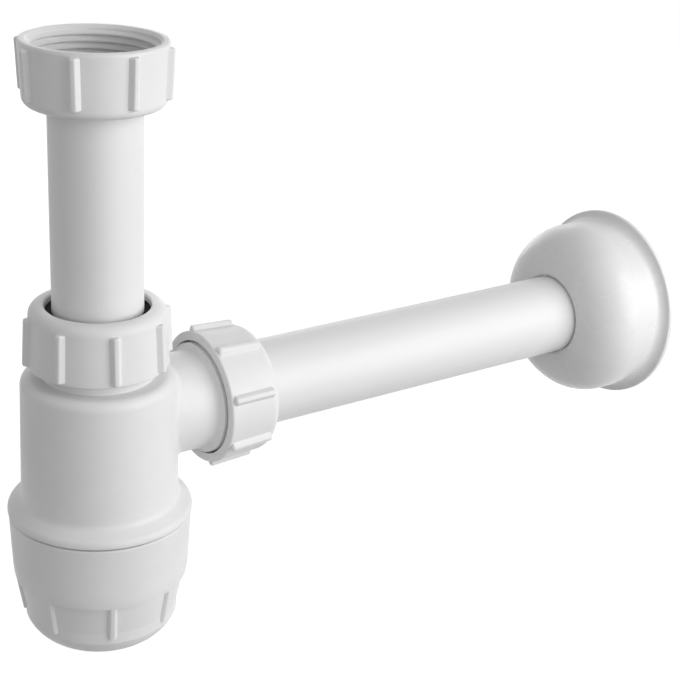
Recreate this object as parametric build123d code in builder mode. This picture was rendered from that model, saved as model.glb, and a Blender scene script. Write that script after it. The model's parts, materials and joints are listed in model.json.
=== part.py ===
"""Bottle trap for a wash basin, with a screw-off cup, an outlet pipe and a wall flange.

Millimetres, +Z up. The origin is the sealing face of the inlet washer, on the inlet pipe's axis.
The outlet leaves along +X.
"""

import os

from build123d import *

os.makedirs("parts", exist_ok=True)

# Pipes
INLET_PIPE_DIAMETER = 31.0
OUTLET_PIPE_DIAMETER = 32.0
PIPE_WALL = 1.8
PIPE_SLIDE_GAP = 0.4
SEAL_GRIP_GAP = 0.1

# Pipe thread G 1 1/4, the same on all three nuts
THREAD_DIAMETER = 41.9
THREAD_DEPTH = 1.45
COLLAR_GAP = 0.8

# Overall layout
SEAT_TO_OUTLET = 119.5
NECK_RISE = 36.6
BRANCH_REACH = 53.6
DIP_DEPTH = 62.0
OUTLET_PIPE_LENGTH = 232.0
OUTLET_PIPE_SETBACK = 3.0
PIPE_IN_WALL = 18.7

# Nut walls and grip ribs
NUT_WALL = 2.3
NUT_DRAFT = 1.0
NUT_EDGE_ROUND = 0.7
RIB_COUNT = 8
RIB_WIDTH = 4.9
RIB_TOP_WIDTH = 1.6
RIB_HEIGHT = 1.9
RIB_SINK = 0.9
RIB_ROUND = 0.8
RIB_INSET = 1.0

# Compression nuts
COMPRESSION_NUT_LENGTH = 21.2
COMPRESSION_NUT_END = 3.2
COMPRESSION_NUT_HOLE_GAP = 2.0
COMPRESSION_NUT_ROUND = 3.6
COMPRESSION_RIB_LENGTH = 17.0
INLET_RIB_TURN = 31.6
OUTLET_RIB_TURN = 27.5

# Slip rings and cone seals
SLIP_RING_THICKNESS = 2.0
SEAL_FLANGE_THICKNESS = 2.0
SEAL_FLANGE_WIDTH = 3.3
SEAL_CONE_LENGTH = 8.0
SEAL_CONE_SPREAD = 2.0
SEAL_SEAT_GAP = 0.15
SEAL_LIP_DROP = 2.2
LIP_GAP = 0.3

# Inlet flange, washer and union nut
WASHER_THICKNESS = 2.5
PIPE_FLANGE_THICKNESS = 2.5
FLANGE_GAP = 0.3
UNION_THREAD_LENGTH = 12.7
UNION_MOUTH_CHAMFER = 1.0
UNION_MOUTH_ROUND = 1.1
UNION_FLOOR = 2.5
UNION_ROUND = 3.0
UNION_RIB_LENGTH = 16.8
UNION_RIB_DROP = 1.2
UNION_RIB_TURN = 3.0

# Bottle body
BODY_DIAMETER = 53.4
BODY_DRAFT = 0.9
BODY_WALL = 2.6
SHOULDER_RISE = 18.4
SHOULDER_ROUND_SHARE = 0.5
SHOULDER_WALL = 3.0
COLLAR_LENGTH = 2.0
BRANCH_DIAMETER = 35.8
BRANCH_COLLAR_ROUND = 2.2
BRANCH_ROOT_SHARE = 0.227
PIPE_STOP_REACH = 27.0
SKIRT_DROP = 32.9
SKIRT_HEIGHT = 1.9
SKIRT_SLOPE = 3.4
SKIRT_ROUND = 2.4
SKIRT_HOLLOW = 2.5

# Cup and its thread
CUP_DIAMETER = 64.2
CUP_WAIST_DIAMETER = 62.0
CUP_BASE_DIAMETER = 50.8
SKIRT_OVERHANG = 0.3
CUP_THREAD_DIAMETER = 58.6
CUP_THREAD_DEPTH = 1.1
CUP_THREAD_LENGTH = 16.1
CUP_RIM_GAP = 0.9
CUP_RIM_ROUND = 0.6
CUP_WAIST_DROP = 22.1
CUP_WAIST_ROUND = 30.0
CUP_DROP = 82.8
CUP_BASE_ROUND = 14.0
CUP_FLOOR = 2.8
CUP_WALL = 2.4
CUP_SEAL_THICKNESS = 2.0
CUP_SEAL_GAP = 0.3
CUP_SEAL_WIDTH = 4.2
PANEL_DROP = 24.0
PANEL_HEIGHT = 12.0
PANEL_FADE = 5.5
PANEL_DEPTH = 1.3
PANEL_END_DEPTH = 0.9
CUP_RIB_WIDTH = 5.0
CUP_RIB_TOP_WIDTH = 1.6
CUP_RIB_HEIGHT = 1.2
CUP_RIB_RUN_OUT = 2.0
CUP_RIB_TURN = 25.5

# Wall flange
FLANGE_DIAMETER = 79.2
FLANGE_WALL = 2.0
FLANGE_DEPTH = 33.1
FLANGE_HOLE_GAP = 0.15
FLANGE_HOLE_ROUND = 1.6
CROWN_DIAMETER = 36.0
CROWN_WALL = 2.6
DOME_LENGTH = 17.5
LIP_WIDTH = 3.7
LIP_DEPTH = 5.7
LIP_EDGE = 1.7
LIP_ROUND = 0.6

# Depth mark near the outlet pipe's free end
MARK_OFFSET = 2.0
MARK_WIDTH = 0.8
MARK_DEPTH = 0.4
PIPE_END_CHAMFER = 0.8

# Radii and levels that follow from the sizes above
inlet_r = INLET_PIPE_DIAMETER / 2
inlet_bore_r = inlet_r - PIPE_WALL
outlet_r = OUTLET_PIPE_DIAMETER / 2
outlet_bore_r = outlet_r - PIPE_WALL
neck_bore_r = inlet_r + PIPE_SLIDE_GAP
branch_bore_r = outlet_r + PIPE_SLIDE_GAP
thread_r = THREAD_DIAMETER / 2
root_r = thread_r - THREAD_DEPTH
collar_r = thread_r - COLLAR_GAP
nut_r = thread_r + NUT_WALL
nut_mouth_r = nut_r + NUT_DRAFT
flange_seat_r = root_r - FLANGE_GAP
nut_hole_r = outlet_r + COMPRESSION_NUT_HOLE_GAP
outlet_z = -SEAT_TO_OUTLET
neck_z = outlet_z + NECK_RISE
body_r = BODY_DIAMETER / 2
cavity_r = body_r - BODY_WALL
cup_r = CUP_DIAMETER / 2
skirt_r = cup_r + SKIRT_OVERHANG
cup_thread_r = CUP_THREAD_DIAMETER / 2
spigot_r = cup_thread_r - CUP_THREAD_DEPTH
skirt_z = outlet_z - SKIRT_DROP
spigot_z = skirt_z - CUP_THREAD_LENGTH
ledge_z = spigot_z - CUP_SEAL_THICKNESS
cup_rim_z = skirt_z - CUP_RIM_GAP
cup_base_z = outlet_z - CUP_DROP
cup_floor_z = cup_base_z + CUP_FLOOR
outlet_start = PIPE_STOP_REACH + OUTLET_PIPE_SETBACK
outlet_end = outlet_start + OUTLET_PIPE_LENGTH
wall_x = outlet_end - PIPE_IN_WALL

# Heights along a compression joint, measured outwards from the rim of its neck
slip_low = SEAL_FLANGE_THICKNESS
slip_high = slip_low + SLIP_RING_THICKNESS
nut_closed = slip_high + COMPRESSION_NUT_END
nut_open = nut_closed - COMPRESSION_NUT_LENGTH
seal_tip = -SEAL_CONE_LENGTH
seal_lip_r = nut_hole_r - LIP_GAP

# Seats: plane origins lie on the joint's axis, plane z points out of the neck
inlet_seat = Plane.XY
neck_seat = Plane.XY.offset(neck_z)
body_seat = Plane(origin=(0, 0, 0), x_dir=(-1, 0, 0), z_dir=(0, 0, 1))
branch_seat = Plane(origin=(BRANCH_REACH, 0, outlet_z), x_dir=(0, 0, 1), z_dir=(1, 0, 0))
wall_seat = Plane(origin=(wall_x, 0, outlet_z), x_dir=(0, 0, 1), z_dir=(1, 0, 0))


def half_section(seat):
    """Plane whose x runs out from the seat's axis and whose y runs along it."""
    return Plane(origin=seat.origin, x_dir=seat.x_dir, z_dir=-seat.y_dir)


def axis_of(seat):
    return Axis(seat.origin, seat.z_dir)


def flat_ring(seat, inner_r, outer_r, low, high):
    """Washer between two heights of a seat."""
    with BuildPart() as ring:
        with BuildSketch(seat.offset(low)):
            Circle(outer_r)
            Circle(inner_r, mode=Mode.SUBTRACT)
        extrude(amount=high - low)
    return ring


def grip_rib(foot, head, width, top_width, height):
    """Rounded rib on the line between two (radius, height) points, sunk a little into its wall."""
    run = Vector(head[0] - foot[0], 0, head[1] - foot[1])
    with BuildPart() as rib:
        with BuildSketch(Plane(origin=(foot[0], 0, foot[1]), x_dir=(0, -1, 0), z_dir=run)):
            with BuildLine():
                Polyline(
                    (-width / 2, -RIB_SINK),
                    (width / 2, -RIB_SINK),
                    (top_width / 2, height),
                    (-top_width / 2, height),
                    close=True,
                )
            make_face()
        extrude(amount=run.length)
        sunk_edges = rib.faces().sort_by(Axis.X)[0].edges()
        fillet(rib.edges() - sunk_edges, RIB_ROUND)
    return rib


def nut_rib(low, high, base, mouth):
    """Rib on a nut's drafted wall, which widens from its base height to its mouth height."""
    slope = NUT_DRAFT / (mouth - base)
    foot = (nut_r + slope * (low - base), low)
    head = (nut_r + slope * (high - base), high)
    return grip_rib(foot, head, RIB_WIDTH, RIB_TOP_WIDTH, RIB_HEIGHT)


def compression_nut(seat, turn):
    """Ribbed nut with its closed end outwards and a wide hole for the pipe."""
    rib_low = nut_open + RIB_INSET
    rib = nut_rib(rib_low, rib_low + COMPRESSION_RIB_LENGTH, nut_closed, nut_open)
    with BuildPart() as nut:
        with BuildSketch(half_section(seat)):
            with BuildLine():
                FilletPolyline(
                    (thread_r, nut_open),
                    (nut_mouth_r, nut_open),
                    (nut_r, nut_closed),
                    (nut_hole_r, nut_closed),
                    (nut_hole_r, slip_high),
                    (thread_r, slip_high),
                    radius=[0, NUT_EDGE_ROUND, COMPRESSION_NUT_ROUND, NUT_EDGE_ROUND, 0, 0],
                    close=True,
                )
            make_face()
        revolve(axis=axis_of(seat))
        with Locations(seat):
            with PolarLocations(0, RIB_COUNT, start_angle=turn):
                add(rib.part)
    return nut


def cone_seal(seat, held_r):
    """Rubber cone round a pipe, with a flange on the neck's rim and a lip inside the nut's hole."""
    grip_r = held_r + SEAL_GRIP_GAP
    tip_r = held_r + PIPE_SLIDE_GAP - SEAL_SEAT_GAP
    flange_r = held_r + SEAL_FLANGE_WIDTH
    lip_top = nut_closed - SEAL_LIP_DROP
    with BuildPart() as seal:
        with BuildSketch(half_section(seat)):
            with BuildLine():
                Polyline(
                    (grip_r, seal_tip),
                    (tip_r, seal_tip),
                    (tip_r + SEAL_CONE_SPREAD, 0),
                    (flange_r, 0),
                    (flange_r, slip_low),
                    (seal_lip_r, slip_low),
                    (seal_lip_r, lip_top),
                    (grip_r, lip_top),
                    close=True,
                )
            make_face()
        revolve(axis=axis_of(seat))
    return seal


def slip_ring(seat):
    return flat_ring(seat, seal_lip_r + LIP_GAP, root_r, slip_low, slip_high)


def flange_outline(inset, crown_inset):
    """Closed half outline of the wall flange, drawn in from its sides and from its crown."""
    front = crown_inset - FLANGE_DEPTH
    crown_r = CROWN_DIAMETER / 2
    lip_r = FLANGE_DIAMETER / 2 - inset
    dome_r = lip_r - LIP_WIDTH
    dome_end = DOME_LENGTH - FLANGE_DEPTH
    EllipticalCenterArc((crown_r, dome_end), dome_r - crown_r, dome_end - front, start_angle=270, arc_size=90)
    Line((dome_r, dome_end), (dome_r, -LIP_DEPTH))
    TangentArc((dome_r, -LIP_DEPTH), (lip_r, -LIP_EDGE), tangent=(0, 1))
    Polyline((lip_r, -LIP_EDGE), (lip_r, 0), (0, 0), (0, front), (crown_r, front))


# Bottle body: drafted wall, shoulder and skirt, threaded neck, side branch and thread for the cup
shoulder_z = outlet_z + SHOULDER_RISE
shoulder_round = SHOULDER_ROUND_SHARE * (body_r - root_r)
branch_r = BRANCH_DIAMETER / 2
branch_root_round = BRANCH_ROOT_SHARE * (body_r - branch_r)
branch_collar = nut_open - COLLAR_LENGTH / 2
with BuildPart() as trap_body:
    with BuildSketch(half_section(body_seat)):
        with BuildLine():
            FilletPolyline(
                (0, spigot_z),
                (spigot_r, spigot_z),
                (spigot_r, skirt_z),
                (skirt_r, skirt_z),
                (skirt_r, skirt_z + SKIRT_HEIGHT),
                (body_r + BODY_DRAFT, skirt_z + SKIRT_HEIGHT + SKIRT_SLOPE),
                (body_r, shoulder_z),
                (root_r, shoulder_z),
                (root_r, neck_z),
                (0, neck_z),
                radius=[0, 0, 0, 0, SKIRT_ROUND, SKIRT_HOLLOW, shoulder_round, 0, 0, 0],
                close=True,
            )
        make_face()
    revolve(axis=Axis.Z)
    with BuildSketch(half_section(branch_seat)):
        with BuildLine():
            FilletPolyline(
                (0, -BRANCH_REACH),
                (branch_r, -BRANCH_REACH),
                (branch_r, branch_collar),
                (collar_r, branch_collar),
                (collar_r, branch_collar + COLLAR_LENGTH),
                (root_r, branch_collar + COLLAR_LENGTH),
                (root_r, 0),
                (0, 0),
                radius=[0, 0, BRANCH_COLLAR_ROUND, 0, 0, 0, 0, 0],
                close=True,
            )
        make_face()
    revolve(axis=axis_of(branch_seat))
    branch_root = trap_body.edges().filter_by(GeomType.BSPLINE)
    fillet(branch_root, branch_root_round)
    with BuildSketch(half_section(body_seat)):
        with BuildLine():
            FilletPolyline(
                (0, spigot_z),
                (cavity_r + BODY_DRAFT, spigot_z),
                (cavity_r, shoulder_z - SHOULDER_WALL),
                (neck_bore_r, shoulder_z - SHOULDER_WALL),
                (neck_bore_r, neck_z + seal_tip),
                (neck_bore_r + SEAL_CONE_SPREAD, neck_z),
                (0, neck_z),
                radius=[0, 0, shoulder_round, 0, 0, 0, 0],
                close=True,
            )
        make_face()
    revolve(axis=Axis.Z, mode=Mode.SUBTRACT)
    with BuildSketch(half_section(branch_seat)):
        with BuildLine():
            Polyline(
                (0, -BRANCH_REACH),
                (outlet_bore_r, -BRANCH_REACH),
                (outlet_bore_r, PIPE_STOP_REACH - BRANCH_REACH),
                (branch_bore_r, PIPE_STOP_REACH - BRANCH_REACH),
                (branch_bore_r, seal_tip),
                (branch_bore_r + SEAL_CONE_SPREAD, 0),
                (0, 0),
                close=True,
            )
        make_face()
    revolve(axis=axis_of(branch_seat), mode=Mode.SUBTRACT)
trap_body.part.label = "trap_body"
export_step(trap_body.part, "parts/trap_body.step")

# Inlet pipe: tail pipe with a flange at the top, open at the bottom as the dip tube
dip_z = outlet_z - DIP_DEPTH
union_floor_z = -WASHER_THICKNESS - PIPE_FLANGE_THICKNESS
with BuildPart() as inlet_pipe:
    with BuildSketch(Plane.XZ):
        with BuildLine():
            Polyline(
                (inlet_bore_r, dip_z),
                (inlet_r, dip_z),
                (inlet_r, union_floor_z),
                (flange_seat_r, union_floor_z),
                (flange_seat_r, -WASHER_THICKNESS),
                (inlet_bore_r, -WASHER_THICKNESS),
                close=True,
            )
        make_face()
    revolve(axis=Axis.Z)
inlet_pipe.part.label = "inlet_pipe"
export_step(inlet_pipe.part, "parts/inlet_pipe.step")

# Inlet washer: flat rubber ring on the pipe's flange
inlet_washer = flat_ring(inlet_seat, inlet_bore_r, flange_seat_r, -WASHER_THICKNESS, 0)
inlet_washer.part.label = "inlet_washer"
export_step(inlet_washer.part, "parts/inlet_washer.step")

# Union nut: threaded mouth upwards, floor hooked under the pipe's flange
union_base_z = union_floor_z - UNION_FLOOR
union_mouth_z = UNION_THREAD_LENGTH + UNION_MOUTH_CHAMFER
union_rib_high = union_mouth_z - UNION_RIB_DROP
union_rib = nut_rib(union_rib_high - UNION_RIB_LENGTH, union_rib_high, union_base_z, union_mouth_z)
with BuildPart() as inlet_union_nut:
    with BuildSketch(Plane.XZ):
        with BuildLine():
            FilletPolyline(
                (neck_bore_r, union_base_z),
                (nut_r, union_base_z),
                (nut_mouth_r, union_mouth_z),
                (thread_r + UNION_MOUTH_CHAMFER, union_mouth_z),
                (thread_r, UNION_THREAD_LENGTH),
                (thread_r, 0),
                (root_r, 0),
                (root_r, union_floor_z),
                (neck_bore_r, union_floor_z),
                radius=[0, UNION_ROUND, UNION_MOUTH_ROUND, 0, 0, 0, 0, 0, 0],
                close=True,
            )
        make_face()
    revolve(axis=Axis.Z)
    with PolarLocations(0, RIB_COUNT, start_angle=UNION_RIB_TURN):
        add(union_rib.part)
inlet_union_nut.part.label = "inlet_union_nut"
export_step(inlet_union_nut.part, "parts/inlet_union_nut.step")

# Compression joints: the same nut and slip ring on the neck and on the branch, each with its pipe's seal
compression_joints = (
    ("inlet", neck_seat, INLET_RIB_TURN, inlet_r),
    ("outlet", branch_seat, OUTLET_RIB_TURN, outlet_r),
)
for name, seat, turn, held_r in compression_joints:
    pieces = {
        f"{name}_compression_nut": compression_nut(seat, turn),
        f"{name}_slip_ring": slip_ring(seat),
        f"{name}_cone_seal": cone_seal(seat, held_r),
    }
    for node, piece in pieces.items():
        piece.part.label = node
        export_step(piece.part, f"parts/{node}.step")

# Cup: plain band, recessed panels that fade out above the round base, ribs between the panels
cup_waist_r = CUP_WAIST_DIAMETER / 2
cup_base_r = CUP_BASE_DIAMETER / 2
cup_waist_z = cup_rim_z - CUP_WAIST_DROP
cup_taper = (cup_waist_r - cup_base_r) / (cup_waist_z - cup_base_z)
cup_inner_round = CUP_BASE_ROUND - CUP_WALL
panel_z = cup_rim_z - PANEL_DROP
panel_end_z = panel_z - PANEL_HEIGHT
fade_z = panel_end_z - PANEL_FADE
panel_r = cup_waist_r - cup_taper * (cup_waist_z - panel_z) - PANEL_DEPTH
panel_end_r = panel_r + PANEL_DEPTH - PANEL_END_DEPTH - cup_taper * PANEL_HEIGHT
panel_taper = (panel_r - panel_end_r) / PANEL_HEIGHT
fade_r = panel_end_r + PANEL_END_DEPTH - cup_taper * PANEL_FADE
cup_rib_foot = (panel_end_r - panel_taper * CUP_RIB_RUN_OUT, panel_end_z - CUP_RIB_RUN_OUT)
cup_rib_head = (panel_r + panel_taper * RIB_INSET, panel_z + RIB_INSET)
cup_rib = grip_rib(cup_rib_foot, cup_rib_head, CUP_RIB_WIDTH, CUP_RIB_TOP_WIDTH, CUP_RIB_HEIGHT)
with BuildPart() as cup_panels:
    with BuildSketch(Plane.XZ):
        with BuildLine():
            Polyline(
                (panel_r, panel_z),
                (panel_end_r, panel_end_z),
                (fade_r, fade_z),
                (cup_r, fade_z),
                (cup_r, panel_z),
                close=True,
            )
        make_face()
    revolve(axis=Axis.Z)
with BuildPart() as cup:
    with BuildSketch(Plane.XZ):
        with BuildLine():
            FilletPolyline(
                (0, cup_base_z),
                (cup_base_r, cup_base_z),
                (cup_waist_r, cup_waist_z),
                (cup_r, cup_rim_z),
                (cup_thread_r, cup_rim_z),
                (cup_thread_r, ledge_z),
                (panel_r - CUP_WALL, ledge_z),
                (cup_base_r - CUP_WALL, cup_floor_z),
                (0, cup_floor_z),
                radius=[0, CUP_BASE_ROUND, CUP_WAIST_ROUND, CUP_RIM_ROUND, 0, 0, 0, cup_inner_round, 0],
                close=True,
            )
        make_face()
    revolve(axis=Axis.Z)
    add(cup_panels.part, mode=Mode.SUBTRACT)
    with PolarLocations(0, RIB_COUNT, start_angle=CUP_RIB_TURN):
        add(cup_rib.part)
cup.part.label = "cup"
export_step(cup.part, "parts/cup.step")

# Cup seal: flat rubber ring on the cup's ledge, pressed by the end of the body's thread
seal_outer_r = cup_thread_r - CUP_SEAL_GAP
cup_seal = flat_ring(Plane.XY, seal_outer_r - CUP_SEAL_WIDTH, seal_outer_r, ledge_z, spigot_z)
cup_seal.part.label = "cup_seal"
export_step(cup_seal.part, "parts/cup_seal.step")

# Outlet pipe: plain pipe with a depth mark behind the wall flange and a bevelled free end
mark_start = wall_x + MARK_OFFSET
with BuildPart() as outlet_pipe:
    with BuildSketch(half_section(branch_seat)):
        with BuildLine():
            Polyline(
                (outlet_bore_r, outlet_start - BRANCH_REACH),
                (outlet_r, outlet_start - BRANCH_REACH),
                (outlet_r, mark_start - BRANCH_REACH),
                (outlet_r - MARK_DEPTH, mark_start - BRANCH_REACH),
                (outlet_r - MARK_DEPTH, mark_start + MARK_WIDTH - BRANCH_REACH),
                (outlet_r, mark_start + MARK_WIDTH - BRANCH_REACH),
                (outlet_r, outlet_end - PIPE_END_CHAMFER - BRANCH_REACH),
                (outlet_r - PIPE_END_CHAMFER, outlet_end - BRANCH_REACH),
                (outlet_bore_r, outlet_end - BRANCH_REACH),
                close=True,
            )
        make_face()
    revolve(axis=axis_of(branch_seat))
outlet_pipe.part.label = "outlet_pipe"
export_step(outlet_pipe.part, "parts/outlet_pipe.step")

# Wall flange: thin dome that flares to a lip on the wall, with a rolled edge round its sliding hole
with BuildPart() as wall_flange:
    with BuildSketch(half_section(wall_seat)) as flange_section:
        with BuildLine():
            flange_outline(0, 0)
        make_face()
        lip_corner = flange_section.vertices().group_by(Axis.X)[-1].sort_by(Axis.Y)[0]
        fillet(lip_corner, LIP_ROUND)
        with BuildLine():
            flange_outline(FLANGE_WALL, CROWN_WALL)
        make_face(mode=Mode.SUBTRACT)
    revolve(axis=axis_of(wall_seat))
    with BuildSketch(wall_seat):
        Circle(outlet_r + FLANGE_HOLE_GAP)
    extrude(amount=-FLANGE_DEPTH, mode=Mode.SUBTRACT)
    hole_edge = wall_flange.edges().filter_by(GeomType.CIRCLE).group_by(Axis.X)[0].sort_by(SortBy.RADIUS)[0]
    fillet(hole_edge, FLANGE_HOLE_ROUND)
wall_flange.part.label = "wall_flange"
export_step(wall_flange.part, "parts/wall_flange.step")
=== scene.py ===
"""Dresses the basin trap: moulded and extruded plastic, rubber seals, screw threads and a white studio."""

import json
import math

import bmesh
import bpy
from bpy.props import FloatProperty, FloatVectorProperty, IntProperty, PointerProperty
from mathutils import Matrix, Quaternion, Vector


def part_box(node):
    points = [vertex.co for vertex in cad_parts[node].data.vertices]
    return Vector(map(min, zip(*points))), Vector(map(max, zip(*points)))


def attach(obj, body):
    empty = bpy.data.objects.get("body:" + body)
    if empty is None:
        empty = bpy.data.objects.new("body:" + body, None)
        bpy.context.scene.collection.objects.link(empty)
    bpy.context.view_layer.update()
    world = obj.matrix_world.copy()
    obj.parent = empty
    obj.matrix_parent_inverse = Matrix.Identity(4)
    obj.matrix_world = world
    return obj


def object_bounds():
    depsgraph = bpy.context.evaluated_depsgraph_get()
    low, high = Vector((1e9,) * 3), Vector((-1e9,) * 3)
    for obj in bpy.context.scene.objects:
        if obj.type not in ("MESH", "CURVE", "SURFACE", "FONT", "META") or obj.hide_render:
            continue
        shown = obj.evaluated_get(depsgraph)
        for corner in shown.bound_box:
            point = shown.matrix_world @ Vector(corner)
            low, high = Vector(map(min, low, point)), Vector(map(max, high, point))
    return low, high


bl_info = {
    "name": "Basin Bottle Trap",
    "version": (1, 0, 0),
    "blender": (4, 5, 0),
    "location": "View3D > Sidebar > Trap",
    "description": "Finishes a plastic bottle trap with threads, materials and a studio",
    "category": "Object",
}

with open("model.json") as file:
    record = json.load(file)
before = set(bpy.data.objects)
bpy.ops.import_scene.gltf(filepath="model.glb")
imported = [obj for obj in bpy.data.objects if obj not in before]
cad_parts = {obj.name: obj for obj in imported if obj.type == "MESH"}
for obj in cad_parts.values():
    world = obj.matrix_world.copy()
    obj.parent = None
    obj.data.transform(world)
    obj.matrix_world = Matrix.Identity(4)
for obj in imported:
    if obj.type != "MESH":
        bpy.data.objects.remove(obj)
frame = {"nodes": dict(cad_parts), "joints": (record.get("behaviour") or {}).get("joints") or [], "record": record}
cad_low, cad_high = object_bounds()

MM = 0.001
TURN = 2 * math.pi

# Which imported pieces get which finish
MOULDED_NODES = (
    "trap_body",
    "cup",
    "inlet_union_nut",
    "inlet_compression_nut",
    "outlet_compression_nut",
)
RUBBER_NODES = ("inlet_washer", "inlet_cone_seal", "outlet_cone_seal", "cup_seal")
SLIP_RING_NODES = ("inlet_slip_ring", "outlet_slip_ring")


def joint(name):
    """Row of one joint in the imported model."""
    return next(row for row in frame["joints"] if row["name"] == name)


def joint_place(name):
    """Point on a joint's axis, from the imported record."""
    return Vector(joint(name)["pos_m"])


def screw_pitch(name):
    """Travel per turn of a coupled slide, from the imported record."""
    couplings = frame["record"]["behaviour"]["couplings"]
    return next(row for row in couplings if row["joint"] == name)["ratio"] * TURN


NECK_RIM = joint_place("inlet_nut_turn")
BRANCH_RIM = joint_place("outlet_nut_turn")
NUT_PITCH = screw_pitch("inlet_nut_travel")
CUP_PITCH = screw_pitch("cup_travel")
CUP_DROP = joint("cup_travel")["range_m"][1]
CUP_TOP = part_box("cup")[1].z
UPRIGHT = Matrix.Identity(4)
TO_OUTLET = Matrix.Rotation(TURN / 4, 4, "Y")

# Gloss and grain that don't change from piece to piece
PLASTIC_IOR = 1.49
PLASTIC_SPECULAR = 0.42
RUBBER_SPECULAR = 0.06
GRAIN_DEPTH = 0.05 * MM
RUBBER_GRAIN_DEPTH = 0.06 * MM
FLANGE_GRAIN = 0.06
PIPE_POLISH_LOW = 0.04
PIPE_POLISH_HIGH = 0.06
RUBBER_BLOOM = 1.8
RING_SHADE = 0.93

# Part of the noise that the mottle spreads over its two tones
MOTTLE_LOW = 0.32
MOTTLE_HIGH = 0.68

# Stretch of a pattern along X, Y and Z: a pipe's lines are drawn out along the pipe
EVEN = (1.0, 1.0, 1.0)
DRAWN_UPRIGHT = (1.0, 1.0, 0.05)
DRAWN_LEVEL = (0.05, 1.0, 1.0)

# Thread radii, first at the ridge's foot, just inside the plastic that carries it, then at its crest
UNION_RADII = (21.0 * MM, 19.65 * MM)
NECK_RADII = (19.42 * MM, 20.55 * MM)
NUT_RADII = (21.03 * MM, 19.9 * MM)
SPIGOT_RADII = (28.12 * MM, 28.95 * MM)
CUP_RADII = (29.38 * MM, 28.5 * MM)

# Width of a ridge at its foot and its crest, as shares of the pitch
UNION_WIDTHS = (0.86, 0.2)
NUT_WIDTHS = (0.62, 0.18)
CUP_WIDTHS = (0.6, 0.2)

# Where threads start: the union's above the frame's zero, the nuts' from the rim, the cup's below its top
UNION_START = 1.4 * MM
NUT_START = -12.2 * MM
CUP_START = CUP_TOP - 14.0 * MM

# Shares of a ridge's height and width that are left at its ends, and the angle of a sharp edge
TIP_HEIGHT = 0.05
TIP_WIDTH = 0.35
SHARP_ANGLE = math.radians(50)

# Studio, with the lamps placed from the part's middle
WHITE = (1.0, 1.0, 1.0, 1.0)
FLOOR_HALF = 6.0
FLOOR_GREY = (0.42, 0.42, 0.42, 1.0)
FLOOR_ROUGHNESS = 0.9
FLOOR_GLOW = 0.83
KEY_PLACE = Vector((0.35, -0.64, 0.28))
KEY_SIZE = 0.8
BACK_PLACE = Vector((0.4, 0.88, 0.2))
BACK_SIZE = 0.7

# Camera at the photograph's viewing angle, rolled a little as there
CAMERA_PLACE = Vector((-0.2196, -0.434946, 0.114524))
CAMERA_TARGET = Vector((0.087187, -0.020057, -0.099411))
CAMERA_ROLL = math.radians(2.986)
CAMERA_LENS = 81.24
CAMERA_SENSOR = 36.0
CAMERA_NEAR = 0.01


class PlasticFinish(bpy.types.PropertyGroup):
    """White plastic of the moulded pieces and the pipes."""

    colour: FloatVectorProperty(
        name="Colour",
        description="White of the plastic",
        subtype="COLOR",
        size=3,
        min=0.0,
        max=1.0,
        default=(0.82, 0.82, 0.82),
    )
    shade: FloatVectorProperty(
        name="Shade",
        description="Slightly darker white in the mottling",
        subtype="COLOR",
        size=3,
        min=0.0,
        max=1.0,
        default=(0.785, 0.785, 0.787),
    )
    gloss_low: FloatProperty(
        name="Roughness low",
        description="Roughness of the smoothest patches",
        subtype="FACTOR",
        min=0.0,
        max=1.0,
        default=0.4,
    )
    gloss_high: FloatProperty(
        name="Roughness high",
        description="Roughness of the dullest patches",
        subtype="FACTOR",
        min=0.0,
        max=1.0,
        default=0.52,
    )
    polish: FloatProperty(
        name="Polish",
        description="How much smoother the wall flange is than the other mouldings",
        subtype="FACTOR",
        min=0.0,
        max=0.4,
        default=0.16,
    )


class RubberFinish(bpy.types.PropertyGroup):
    """Black rubber of the seals and the pale plastic of the slip rings."""

    colour: FloatVectorProperty(
        name="Rubber",
        description="Black of the rubber",
        subtype="COLOR",
        size=3,
        min=0.0,
        max=1.0,
        default=(0.007, 0.007, 0.0075),
    )
    ring_colour: FloatVectorProperty(
        name="Slip ring",
        description="Unpigmented plastic of the slip rings",
        subtype="COLOR",
        size=3,
        min=0.0,
        max=1.0,
        default=(0.62, 0.62, 0.6),
    )


class ThreadSizes(bpy.types.PropertyGroup):
    """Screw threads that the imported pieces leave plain."""

    steps: IntProperty(
        name="Steps per turn",
        description="Sections in one turn of a thread",
        min=16,
        max=128,
        default=72,
    )
    fade: FloatProperty(
        name="Run-out",
        description="Share of a turn over which a thread runs out",
        subtype="FACTOR",
        min=0.05,
        max=1.0,
        default=0.4,
    )


class StudioLight(bpy.types.PropertyGroup):
    """Lamps and surround of the studio."""

    ambient: FloatProperty(
        name="Ambient",
        description="Strength of the even light from all round, level with the part",
        min=0.0,
        max=2.0,
        default=0.76,
    )
    overhead: FloatProperty(
        name="Overhead",
        description="Strength of the even light straight from above",
        min=0.0,
        max=2.0,
        default=0.22,
    )
    key: FloatProperty(
        name="Key",
        description="Power of the large lamp on the right",
        unit="POWER",
        min=0.0,
        default=5.0,
    )
    back: FloatProperty(
        name="Back",
        description="Power of the weaker lamp behind the part",
        unit="POWER",
        min=0.0,
        default=1.5,
    )


class TrapSettings(bpy.types.PropertyGroup):
    """All the values that a user of this file would change."""

    plastic: PointerProperty(type=PlasticFinish)
    rubber: PointerProperty(type=RubberFinish)
    thread: PointerProperty(type=ThreadSizes)
    studio: PointerProperty(type=StudioLight)


def settings():
    """Values that the scene holds."""
    return bpy.context.scene.trap_settings


# Materials
def noise(nodes, detail, roughness):
    """Noise texture of the given fineness."""
    texture = nodes.new("ShaderNodeTexNoise")
    texture.inputs["Detail"].default_value = detail
    texture.inputs["Roughness"].default_value = roughness
    return texture


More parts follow.
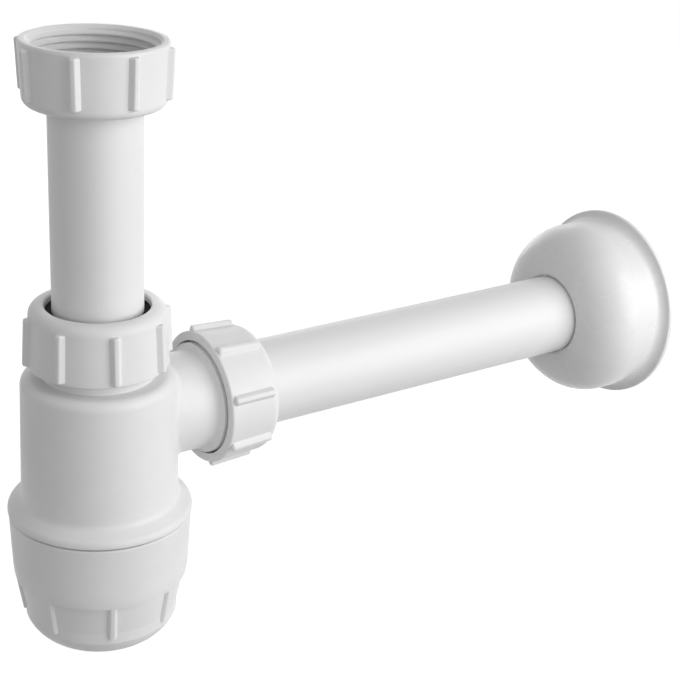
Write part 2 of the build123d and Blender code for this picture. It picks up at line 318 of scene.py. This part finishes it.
def moulding_group():
    """Mottled tone and fine surface grain of a moulded or extruded skin."""
    name = "Moulded skin"
    if name in bpy.data.node_groups:
        return bpy.data.node_groups[name]
    group = bpy.data.node_groups.new(name, "ShaderNodeTree")
    face = group.interface
    face.new_socket("Vector", in_out="INPUT", socket_type="NodeSocketVector")
    face.new_socket("Mottle Scale", in_out="INPUT", socket_type="NodeSocketFloat")
    face.new_socket("Grain Scale", in_out="INPUT", socket_type="NodeSocketFloat")
    face.new_socket("Mottle", in_out="OUTPUT", socket_type="NodeSocketFloat")
    face.new_socket("Grain", in_out="OUTPUT", socket_type="NodeSocketFloat")
    nodes, links = group.nodes, group.links
    inputs = nodes.new("NodeGroupInput")
    outputs = nodes.new("NodeGroupOutput")
    cloud = noise(nodes, detail=3.0, roughness=0.55)
    spread = nodes.new("ShaderNodeMapRange")
    spread.inputs["From Min"].default_value = MOTTLE_LOW
    spread.inputs["From Max"].default_value = MOTTLE_HIGH
    grain = noise(nodes, detail=4.0, roughness=0.6)
    links.new(inputs.outputs["Vector"], cloud.inputs["Vector"])
    links.new(inputs.outputs["Mottle Scale"], cloud.inputs["Scale"])
    links.new(cloud.outputs["Fac"], spread.inputs["Value"])
    links.new(spread.outputs["Result"], outputs.inputs["Mottle"])
    links.new(inputs.outputs["Vector"], grain.inputs["Vector"])
    links.new(inputs.outputs["Grain Scale"], grain.inputs["Scale"])
    links.new(grain.outputs["Fac"], outputs.inputs["Grain"])
    return group


def skin_material(name, *, tones, rough, mottle_scale, grain_scale, bump, stretch=EVEN):
    """Skin of two mottled tones with their roughness, and a grain given as bump strength and depth."""
    material = bpy.data.materials.new(name)
    material.use_nodes = True
    nodes, links = material.node_tree.nodes, material.node_tree.links
    shader = nodes["Principled BSDF"]
    place = nodes.new("ShaderNodeTexCoord")
    mapping = nodes.new("ShaderNodeMapping")
    mapping.inputs["Scale"].default_value = stretch
    skin = nodes.new("ShaderNodeGroup")
    skin.node_tree = moulding_group()
    skin.inputs["Mottle Scale"].default_value = mottle_scale
    skin.inputs["Grain Scale"].default_value = grain_scale
    tone = nodes.new("ShaderNodeMix")
    tone.data_type = "RGBA"
    tone.inputs["A"].default_value = (*tones[0], 1.0)
    tone.inputs["B"].default_value = (*tones[1], 1.0)
    gloss = nodes.new("ShaderNodeMapRange")
    gloss.inputs["To Min"].default_value = rough[0]
    gloss.inputs["To Max"].default_value = rough[1]
    grain = nodes.new("ShaderNodeBump")
    grain.inputs["Strength"].default_value = bump[0]
    grain.inputs["Distance"].default_value = bump[1]
    links.new(place.outputs["Object"], mapping.inputs["Vector"])
    links.new(mapping.outputs["Vector"], skin.inputs["Vector"])
    links.new(skin.outputs["Mottle"], tone.inputs["Factor"])
    links.new(tone.outputs["Result"], shader.inputs["Base Color"])
    links.new(skin.outputs["Mottle"], gloss.inputs["Value"])
    links.new(gloss.outputs["Result"], shader.inputs["Roughness"])
    links.new(skin.outputs["Grain"], grain.inputs["Height"])
    links.new(grain.outputs["Normal"], shader.inputs["Normal"])
    return material


def white_plastic(name, **skin):
    """White plastic of one finish, with the gloss that all the finishes share."""
    finish = settings().plastic
    material = skin_material(name, tones=(finish.colour, finish.shade), **skin)
    shader = material.node_tree.nodes["Principled BSDF"]
    shader.inputs["IOR"].default_value = PLASTIC_IOR
    shader.inputs["Specular IOR Level"].default_value = PLASTIC_SPECULAR
    return material


def moulded_white(name="Moulded white plastic", polish=0.0, grain=0.12):
    """White plastic with a fine spark-eroded grain, shared by the pieces of one finish."""
    if name in bpy.data.materials:
        return bpy.data.materials[name]
    finish = settings().plastic
    return white_plastic(
        name,
        rough=(finish.gloss_low - polish, finish.gloss_high - polish),
        mottle_scale=55.0,
        grain_scale=1900.0,
        bump=(grain, GRAIN_DEPTH),
    )


def extruded_white(name, stretch):
    """White pipe plastic, with faint lines along the way that it was drawn."""
    finish = settings().plastic
    return white_plastic(
        name,
        rough=(finish.gloss_low - PIPE_POLISH_LOW, finish.gloss_high - PIPE_POLISH_HIGH),
        mottle_scale=70.0,
        grain_scale=1500.0,
        bump=(0.1, GRAIN_DEPTH),
        stretch=stretch,
    )


def dress(obj, material):
    """Gives an object one material and no other."""
    obj.data.materials.clear()
    obj.data.materials.append(material)


# Screw threads
def screw_thread(name, radii, widths, pitch, start, turns, seat=UPRIGHT):
    """Helical ridge whose middle crosses angle zero at the start height, run out at both ends."""
    sizes = settings().thread
    steps = round(turns * sizes.steps)
    foot_r, crest_r = radii
    half_foot, half_crest = (width * pitch / 2 for width in widths)
    section = (
        (foot_r, -half_foot),
        (crest_r, -half_crest),
        (crest_r, half_crest),
        (foot_r, half_foot),
    )
    shape = bmesh.new()
    corners = [shape.verts.new((r, 0, start + z)) for r, z in section]
    face = shape.faces.new(corners)
    bmesh.ops.spin(
        shape,
        geom=[face, *face.edges, *corners],
        cent=(0, 0, 0),
        axis=(0, 0, 1),
        dvec=(0, 0, turns * pitch / steps),
        angle=turns * TURN,
        steps=steps,
        use_merge=False,
    )
    for vert in shape.verts:
        turn = math.atan2(vert.co.y, vert.co.x) / TURN
        turn += round((vert.co.z - start) / pitch - turn)
        share = min(1.0, TIP_HEIGHT + turn / sizes.fade, TIP_HEIGHT + (turns - turn) / sizes.fade)
        full_r = vert.co.xy.length
        vert.co.xy *= (foot_r + (full_r - foot_r) * share) / full_r
        middle = start + turn * pitch
        vert.co.z = middle + (vert.co.z - middle) * (TIP_WIDTH + (1 - TIP_WIDTH) * share)
    bmesh.ops.recalc_face_normals(shape, faces=shape.faces)
    bmesh.ops.transform(shape, matrix=seat, verts=shape.verts)
    mesh = bpy.data.meshes.new(name)
    shape.to_mesh(mesh)
    shape.free()
    for polygon in mesh.polygons:
        polygon.use_smooth = True
    mesh.set_sharp_from_angle(angle=SHARP_ANGLE)
    thread = bpy.data.objects.new(name, mesh)
    bpy.context.scene.collection.objects.link(thread)
    dress(thread, moulded_white())
    return thread


class TRAP_OT_moulded_pieces(bpy.types.Operator):
    """Gives the body, cup, nuts and wall flange their white plastic"""

    bl_idname = "trap.moulded_pieces"
    bl_label = "Moulded Pieces"

    def execute(self, context):
        for node in MOULDED_NODES:
            dress(frame["nodes"][node], moulded_white())
        polish = settings().plastic.polish
        flange_white = moulded_white("Polished white plastic", polish, FLANGE_GRAIN)
        dress(frame["nodes"]["wall_flange"], flange_white)
        return {"FINISHED"}


class TRAP_OT_pipes(bpy.types.Operator):
    """Gives both pipes their drawn plastic"""

    bl_idname = "trap.pipes"
    bl_label = "Pipes"

    def execute(self, context):
        upright = extruded_white("Upright pipe plastic", DRAWN_UPRIGHT)
        level = extruded_white("Level pipe plastic", DRAWN_LEVEL)
        dress(frame["nodes"]["inlet_pipe"], upright)
        dress(frame["nodes"]["outlet_pipe"], level)
        return {"FINISHED"}


class TRAP_OT_seals(bpy.types.Operator):
    """Gives the washers and cone seals their rubber and the slip rings their pale plastic"""

    bl_idname = "trap.seals"
    bl_label = "Seals"

    def execute(self, context):
        finish = settings().rubber
        rubber = skin_material(
            "Black rubber",
            tones=(finish.colour, [c * RUBBER_BLOOM for c in finish.colour]),
            rough=(0.6, 0.8),
            mottle_scale=240.0,
            grain_scale=3200.0,
            bump=(0.3, RUBBER_GRAIN_DEPTH),
        )
        shader = rubber.node_tree.nodes["Principled BSDF"]
        shader.inputs["Specular IOR Level"].default_value = RUBBER_SPECULAR
        pale = skin_material(
            "Slip ring plastic",
            tones=(finish.ring_colour, [c * RING_SHADE for c in finish.ring_colour]),
            rough=(0.42, 0.56),
            mottle_scale=120.0,
            grain_scale=2200.0,
            bump=(0.15, GRAIN_DEPTH),
        )
        for node in RUBBER_NODES:
            dress(frame["nodes"][node], rubber)
        for node in SLIP_RING_NODES:
            dress(frame["nodes"][node], pale)
        return {"FINISHED"}


class TRAP_OT_union_thread(bpy.types.Operator):
    """Cuts the visible thread into the union nut's mouth"""

    bl_idname = "trap.union_thread"
    bl_label = "Union Thread"

    def execute(self, context):
        thread = screw_thread(
            "union_nut_thread",
            UNION_RADII,
            UNION_WIDTHS,
            pitch=NUT_PITCH,
            start=UNION_START,
            turns=4.7,
        )
        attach(thread, "union_nut")
        return {"FINISHED"}


class TRAP_OT_joint_threads(bpy.types.Operator):
    """Threads the neck, the branch and the two nuts that screw on them"""

    bl_idname = "trap.joint_threads"
    bl_label = "Joint Threads"

    def execute(self, context):
        seats = (
            ("inlet", Matrix.Translation(NECK_RIM), "inlet_nut"),
            ("outlet", Matrix.Translation(BRANCH_RIM) @ TO_OUTLET, "outlet_nut"),
        )
        for name, seat, nut_body in seats:
            male = screw_thread(
                f"{name}_neck_thread",
                NECK_RADII,
                NUT_WIDTHS,
                pitch=NUT_PITCH,
                start=NUT_START,
                turns=4.6,
                seat=seat,
            )
            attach(male, "trap")
            female = screw_thread(
                f"{name}_nut_thread",
                NUT_RADII,
                NUT_WIDTHS,
                pitch=NUT_PITCH,
                start=NUT_START + NUT_PITCH / 2,
                turns=4.1,
                seat=seat,
            )
            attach(female, nut_body)
        return {"FINISHED"}


class TRAP_OT_cup_threads(bpy.types.Operator):
    """Threads the body's lower end and the inside of the cup"""

    bl_idname = "trap.cup_threads"
    bl_label = "Cup Threads"

    def execute(self, context):
        male = screw_thread(
            "body_cup_thread",
            SPIGOT_RADII,
            CUP_WIDTHS,
            pitch=CUP_PITCH,
            start=CUP_START,
            turns=4.0,
        )
        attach(male, "trap")
        female = screw_thread(
            "cup_thread",
            CUP_RADII,
            CUP_WIDTHS,
            pitch=CUP_PITCH,
            start=CUP_START + CUP_PITCH / 2,
            turns=3.6,
        )
        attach(female, "cup")
        return {"FINISHED"}


# Studio
def shown_rays(nodes, links):
    """One where the camera sees a surface, directly, in a reflection or through something clear."""
    rays = nodes.new("ShaderNodeLightPath")
    direct = nodes.new("ShaderNodeMath")
    direct.operation = "MAXIMUM"
    shown = nodes.new("ShaderNodeMath")
    shown.operation = "MAXIMUM"
    links.new(rays.outputs["Is Camera Ray"], direct.inputs[0])
    links.new(rays.outputs["Is Glossy Ray"], direct.inputs[1])
    links.new(direct.outputs["Value"], shown.inputs[0])
    links.new(rays.outputs["Is Transmission Ray"], shown.inputs[1])
    return shown.outputs["Value"]


def studio_floor():
    """White floor, low enough for the unscrewed cup, that keeps a soft shadow."""
    shape = bmesh.new()
    bmesh.ops.create_grid(shape, x_segments=1, y_segments=1, size=FLOOR_HALF)
    bmesh.ops.translate(shape, vec=(0, 0, cad_low.z - CUP_DROP), verts=shape.verts)
    mesh = bpy.data.meshes.new("studio_floor")
    shape.to_mesh(mesh)
    shape.free()
    floor = bpy.data.objects.new("studio_floor", mesh)
    bpy.context.scene.collection.objects.link(floor)
    material = bpy.data.materials.new("Studio floor")
    material.use_nodes = True
    nodes, links = material.node_tree.nodes, material.node_tree.links
    shader = nodes["Principled BSDF"]
    shader.inputs["Base Color"].default_value = FLOOR_GREY
    shader.inputs["Roughness"].default_value = FLOOR_ROUGHNESS
    shader.inputs["Specular IOR Level"].default_value = 0.0
    shader.inputs["Emission Color"].default_value = WHITE
    glow = nodes.new("ShaderNodeMath")
    glow.operation = "MULTIPLY"
    glow.inputs[1].default_value = FLOOR_GLOW
    links.new(shown_rays(nodes, links), glow.inputs[0])
    links.new(glow.outputs["Value"], shader.inputs["Emission Strength"])
    dress(floor, material)


def studio_surround(ambient, overhead):
    """Even light from all round, dimmer overhead, and white where the camera sees it."""
    world = bpy.data.worlds.new("Studio surround")
    world.use_nodes = True
    nodes, links = world.node_tree.nodes, world.node_tree.links
    background = nodes["Background"]
    background.inputs["Color"].default_value = WHITE
    direction = nodes.new("ShaderNodeTexCoord")
    axes = nodes.new("ShaderNodeSeparateXYZ")
    fall = nodes.new("ShaderNodeMapRange")
    fall.inputs["To Min"].default_value = ambient
    fall.inputs["To Max"].default_value = overhead
    level = nodes.new("ShaderNodeMix")
    level.inputs["B"].default_value = 1.0
    links.new(direction.outputs["Generated"], axes.inputs["Vector"])
    links.new(axes.outputs["Z"], fall.inputs["Value"])
    links.new(fall.outputs["Result"], level.inputs["A"])
    links.new(shown_rays(nodes, links), level.inputs["Factor"])
    links.new(level.outputs["Result"], background.inputs["Strength"])
    bpy.context.scene.world = world


def facing(place, target):
    """Turn of a lamp or camera that looks from one point to another."""
    return (target - place).to_track_quat("-Z", "Y")


def area_lamp(name, place, target, size, power):
    """Round soft lamp."""
    lamp = bpy.data.lights.new(name, "AREA")
    lamp.shape = "DISK"
    lamp.size = size
    lamp.energy = power
    obj = bpy.data.objects.new(name, lamp)
    obj.location = place
    obj.rotation_mode = "QUATERNION"
    obj.rotation_quaternion = facing(place, target)
    bpy.context.scene.collection.objects.link(obj)


def photo_camera():
    """Makes the photograph's camera the scene's."""
    lens = bpy.data.cameras.new("photo_camera")
    lens.lens = CAMERA_LENS
    lens.sensor_width = CAMERA_SENSOR
    lens.clip_start = CAMERA_NEAR
    camera = bpy.data.objects.new("photo_camera", lens)
    camera.location = CAMERA_PLACE
    camera.rotation_mode = "QUATERNION"
    roll = Quaternion((0, 0, 1), CAMERA_ROLL)
    camera.rotation_quaternion = facing(CAMERA_PLACE, CAMERA_TARGET) @ roll
    bpy.context.scene.collection.objects.link(camera)
    bpy.context.scene.camera = camera


class TRAP_OT_studio(bpy.types.Operator):
    """Sets up the floor, the lamps, the surround and the camera"""

    bl_idname = "trap.studio"
    bl_label = "Studio"

    def execute(self, context):
        light = settings().studio
        middle = (cad_low + cad_high) / 2
        studio_floor()
        studio_surround(light.ambient, light.overhead)
        area_lamp("key_lamp", middle + KEY_PLACE, middle, KEY_SIZE, light.key)
        area_lamp("back_lamp", middle + BACK_PLACE, middle, BACK_SIZE, light.back)
        photo_camera()
        context.scene.view_settings.view_transform = "Standard"
        return {"FINISHED"}


class TRAP_PT_panel(bpy.types.Panel):
    """Lists the values that can be changed, then the finishing steps in the order that they run"""

    bl_idname = "TRAP_PT_panel"
    bl_label = "Basin Trap"
    bl_space_type = "VIEW_3D"
    bl_region_type = "UI"
    bl_category = "Trap"

    def draw(self, context):
        chosen = settings()
        for group in (chosen.plastic, chosen.rubber, chosen.thread, chosen.studio):
            box = self.layout.box()
            for value in type(group).__annotations__:
                box.prop(group, value)
        for step in STEPS:
            self.layout.operator(step.bl_idname)


STEPS = (
    TRAP_OT_moulded_pieces,
    TRAP_OT_pipes,
    TRAP_OT_seals,
    TRAP_OT_union_thread,
    TRAP_OT_joint_threads,
    TRAP_OT_cup_threads,
    TRAP_OT_studio,
)
CLASSES = (
    PlasticFinish,
    RubberFinish,
    ThreadSizes,
    StudioLight,
    TrapSettings,
    *STEPS,
    TRAP_PT_panel,
)


def register():
    for cls in CLASSES:
        bpy.utils.register_class(cls)
    bpy.types.Scene.trap_settings = PointerProperty(type=TrapSettings)


def unregister():
    del bpy.types.Scene.trap_settings
    for cls in reversed(CLASSES):
        bpy.utils.unregister_class(cls)


def main():
    register()
    bpy.ops.trap.moulded_pieces()
    bpy.ops.trap.pipes()
    bpy.ops.trap.seals()
    bpy.ops.trap.union_thread()
    bpy.ops.trap.joint_threads()
    bpy.ops.trap.cup_threads()
    bpy.ops.trap.studio()


if __name__ == "__main__":
    main()
